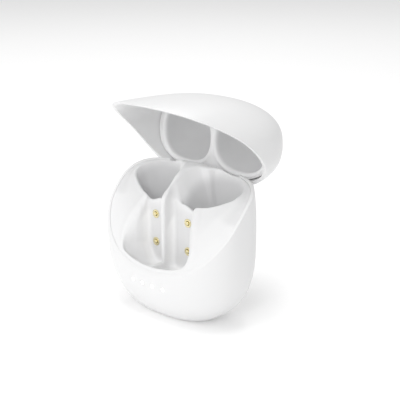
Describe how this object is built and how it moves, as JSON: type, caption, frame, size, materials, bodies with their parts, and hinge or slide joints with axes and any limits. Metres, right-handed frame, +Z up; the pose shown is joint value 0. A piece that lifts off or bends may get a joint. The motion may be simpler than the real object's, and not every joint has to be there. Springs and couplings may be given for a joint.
{
  "type": "wireless earbud charging case",
  "caption": "Pebble-shaped charging case with a hinged lid held open, wells and stem pockets for a pair of earbuds, sprung gold contacts and small status lights in the front wall.",
  "frame": {"origin": "middle of the flat foot that the case stands on", "axes": "+Z up, +X to the right seen from the front, the front faces -Y, the open lid leans to +Y"},
  "size_m": [0.0504, 0.0426, 0.0618],
  "materials": {
    "shell_white": "smooth moulded, gloss to satin",
    "cradle_white": "smooth moulded, soft gloss",
    "liner_white": "smooth moulded, soft gloss",
    "gold": "gold plated",
    "steel": "bright",
    "board_green": "solder mask",
    "black_resin": "moulded resin",
    "battery_foil": "laminate pouch",
    "foam": "foam",
    "ferrite": "sintered",
    "magnet_nickel": "nickel plated",
    "lens": "translucent light guide",
    "led_chip": "moulded resin"
  },
  "bodies": {
    "base": {"base_shell": "shell_white", "cradle": "cradle_white", "battery": "battery_foil", "battery_pad": "foam", "main_board": "board_green", "usb_shell": "steel", "usb_tongue": "black_resin", "charge_chip": "black_resin", "power_inductor": "ferrite", "led_board": "board_green", "lid_sensor": "black_resin", "catch_magnet": "magnet_nickel", "bud_magnet_left": "magnet_nickel", "bud_magnet_right": "magnet_nickel", "contact_board_left": "board_green", "contact_board_right": "board_green", "hinge_bracket": "steel", "hinge_pin": "steel", "bracket_screw_left": "steel", "bracket_screw_right": "steel", "socket_board": "board_green", "led_chip_1": "led_chip", "led_window_1": "lens", "led_chip_2": "led_chip", "led_window_2": "lens", "led_chip_3": "led_chip", "led_window_3": "lens", "led_chip_4": "led_chip", "led_window_4": "lens", "pin_barrel_left_upper": "gold", "pin_spring_left_upper": "steel", "pin_barrel_left_lower": "gold", "pin_spring_left_lower": "steel", "pin_barrel_right_upper": "gold", "pin_spring_right_upper": "steel", "pin_barrel_right_lower": "gold", "pin_spring_right_lower": "steel"},
    "lid": {"lid_shell": "shell_white", "lid_liner": "liner_white", "lid_magnet": "magnet_nickel"},
    "plunger_left_upper": {"pin_plunger_left_upper": "gold"},
    "plunger_left_lower": {"pin_plunger_left_lower": "gold"},
    "plunger_right_upper": {"pin_plunger_right_upper": "gold"},
    "plunger_right_lower": {"pin_plunger_right_lower": "gold"}
  },
  "joints": [
    {"name": "lid_hinge", "type": "hinge", "parent": "base", "child": "lid", "pos_m": [0, 0.0114, 0.0381], "axis": [-1, 0, 0], "range_deg": [-91.5, 0]},
    {"name": "pin_press_left_upper", "type": "slide", "parent": "base", "child": "plunger_left_upper", "axis": [0, 1, 0], "range_m": [0, 0.0005], "stiffness_N_per_m": 800, "springref_m": -0.0003, "deforming": ["pin_spring_left_upper"]},
    {"name": "pin_press_left_lower", "type": "slide", "parent": "base", "child": "plunger_left_lower", "axis": [0, 1, 0], "range_m": [0, 0.0005], "stiffness_N_per_m": 800, "springref_m": -0.0003, "deforming": ["pin_spring_left_lower"]},
    {"name": "pin_press_right_upper", "type": "slide", "parent": "base", "child": "plunger_right_upper", "axis": [0, 1, 0], "range_m": [0, 0.0005], "stiffness_N_per_m": 800, "springref_m": -0.0003, "deforming": ["pin_spring_right_upper"]},
    {"name": "pin_press_right_lower", "type": "slide", "parent": "base", "child": "plunger_right_lower", "axis": [0, 1, 0], "range_m": [0, 0.0005], "stiffness_N_per_m": 800, "springref_m": -0.0003, "deforming": ["pin_spring_right_lower"]}
  ]
}
